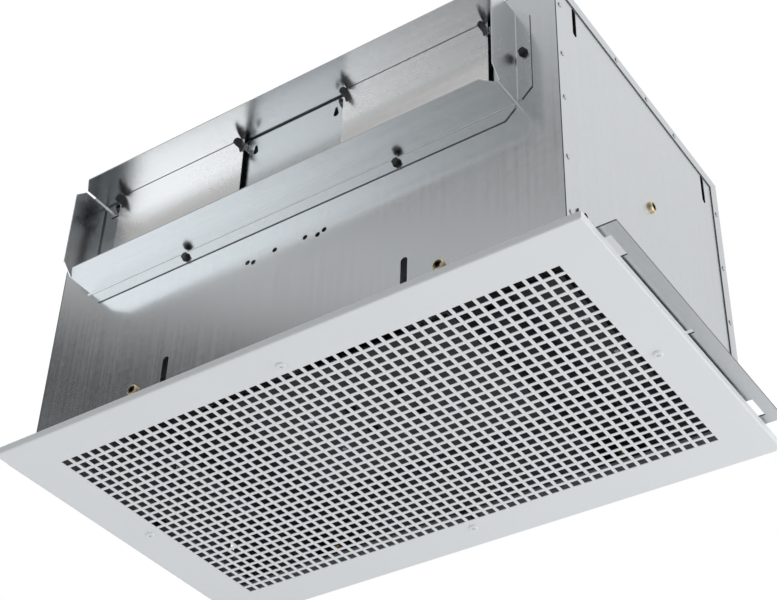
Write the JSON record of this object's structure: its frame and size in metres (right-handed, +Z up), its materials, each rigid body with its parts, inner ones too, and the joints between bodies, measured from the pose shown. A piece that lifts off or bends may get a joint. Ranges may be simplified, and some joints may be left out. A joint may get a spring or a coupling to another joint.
{
  "type": "ceiling ventilation fan",
  "caption": "Ceiling ventilation fan: galvanised sheet housing with a wide duct collar, back-draught flaps, blower wheels on a motor's shaft, mounting rails and a perforated grille.",
  "frame": {"origin": "middle of the ceiling screw holes, on the underside of the mounting rails", "axes": "+X along the long side, -Y out of the duct collar, +Z up"},
  "size_m": [0.6194, 0.3762, 0.3032],
  "materials": {
    "galvanised": "galvanised sheet, satin",
    "flap_sheet": "rolled sheet, satin",
    "bright_steel": "bright zinc",
    "black_steel": "black oxide",
    "yellow_zinc": "yellow zinc",
    "white_paint": "satin powder coat",
    "foam": "matte foam strip",
    "rubber": "matte",
    "motor_paint": "satin black",
    "cast_aluminium": "as cast",
    "lamination": "stacked sheets",
    "copper": "varnished wire",
    "bronze": "sintered",
    "capacitor_can": "drawn can, satin",
    "socket_plastic": "moulded"
  },
  "bodies": {
    "housing": {"back_panel": "galvanised", "base_bolts": "black_steel", "base_plate": "motor_paint", "blower_screws": "bright_steel", "capacitor": "capacitor_can", "capacitor_strap": "galvanised", "collar_bottom": "galvanised", "collar_left": "galvanised", "collar_right": "galvanised", "collar_screws": "black_steel", "collar_top": "galvanised", "flap_seals": "foam", "front_panel": "galvanised", "grille_clips": "black_steel", "hinge_lugs": "galvanised", "housing_rivets": "bright_steel", "left_channel": "motor_paint", "left_end_bell": "cast_aluminium", "left_panel": "galvanised", "left_scroll_inner_plate": "galvanised", "left_scroll_outer_plate": "galvanised", "left_scroll_wrapper": "galvanised", "left_stay": "motor_paint", "motor_bearings": "bronze", "motor_cradle": "motor_paint", "motor_rings": "rubber", "motor_shell": "motor_paint", "motor_socket": "socket_plastic", "motor_windings": "copper", "outlet_divider": "galvanised", "right_channel": "motor_paint", "right_end_bell": "cast_aluminium", "right_panel": "galvanised", "right_scroll_inner_plate": "galvanised", "right_scroll_outer_plate": "galvanised", "right_scroll_wrapper": "galvanised", "right_stay": "motor_paint", "stator_core": "lamination", "strap_screws": "bright_steel", "support_bolts": "yellow_zinc", "top_panel": "galvanised", "wiring_box": "galvanised", "wiring_cover": "galvanised", "wiring_screws": "bright_steel"},
    "rotor": {"left_wheel": "galvanised", "right_wheel": "galvanised", "hub_set_screws": "black_steel", "motor_shaft": "bright_steel", "rotor_core": "lamination"},
    "left_damper": {"left_flap": "flap_sheet", "left_hinge_rod": "bright_steel"},
    "right_damper": {"right_flap": "flap_sheet", "right_hinge_rod": "bright_steel"},
    "grille_tray": {"grille": "white_paint", "grille_screws": "white_paint"},
    "left_mounting_rail": {"left_rail": "galvanised", "left_rail_bolts": "bright_steel"},
    "right_mounting_rail": {"right_rail": "galvanised", "right_rail_bolts": "bright_steel"}
  },
  "joints": [
    {"name": "blower_spin", "type": "hinge", "parent": "housing", "child": "rotor", "pos_m": [0, 0, 0.1445], "axis": [1, 0, 0], "continuous": true},
    {"name": "left_flap_swing", "type": "hinge", "parent": "housing", "child": "left_damper", "pos_m": [-0.1325, -0.1588, 0.2555], "axis": [-1, 0, 0], "range_deg": [0, 70]},
    {"name": "right_flap_swing", "type": "hinge", "parent": "housing", "child": "right_damper", "pos_m": [0.1325, -0.1588, 0.2555], "axis": [-1, 0, 0], "range_deg": [0, 70]},
    {"name": "grille_drop", "type": "slide", "parent": "housing", "child": "grille_tray", "axis": [0, 0, -1], "range_m": [0, 0.12]},
    {"name": "left_rail_adjust", "type": "slide", "parent": "housing", "child": "left_mounting_rail", "axis": [0, 0, 1], "range_m": [0, 0.012]},
    {"name": "right_rail_adjust", "type": "slide", "parent": "housing", "child": "right_mounting_rail", "axis": [0, 0, 1], "range_m": [0, 0.012]}
  ]
}
